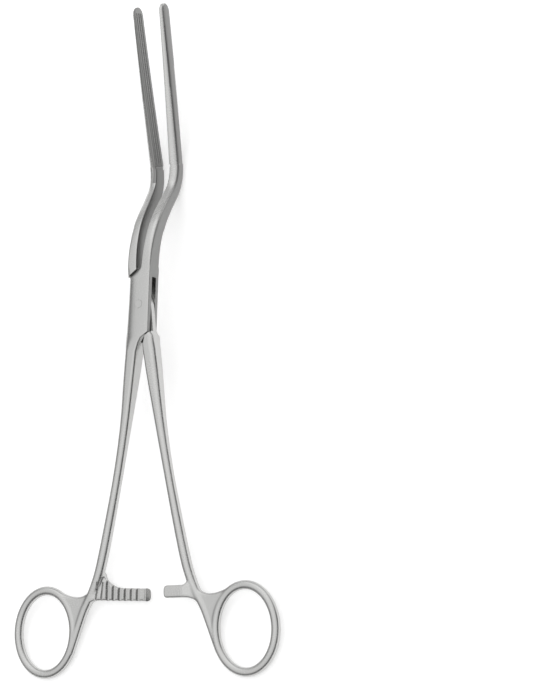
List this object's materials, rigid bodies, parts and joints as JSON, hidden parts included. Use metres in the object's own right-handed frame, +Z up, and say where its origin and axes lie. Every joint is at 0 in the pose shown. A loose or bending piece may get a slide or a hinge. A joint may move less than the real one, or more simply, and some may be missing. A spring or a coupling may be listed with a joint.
{
  "type": "intestinal clamp",
  "caption": "Ring-handled intestinal clamp with a box lock, a ratchet between the shanks and long bayonet jaws with fine lengthwise toothed rows",
  "frame": {"origin": "Middle of the footprint, at the height of the lowest points, where the clamp meets the table it lies on", "axes": "+Y runs along the clamp from the finger rings to the jaw tips, +X runs across it from the box half's ring to the tongue half's ring, and +Z points up off the table"},
  "size_m": [0.117, 0.2566, 0.0227],
  "materials": {
    "satin_steel": "satin"
  },
  "bodies": {
    "box_half": {"box_half": "satin_steel", "pivot_pin": "satin_steel"},
    "tongue_half": {"tongue_half": "satin_steel"}
  },
  "joints": [
    {"name": "box_lock_hinge", "type": "hinge", "parent": "box_half", "child": "tongue_half", "pos_m": [0, 0.01062, 0.01471], "axis": [0, -0.0938, 0.9956], "range_deg": [-5.2, 35]}
  ]
}
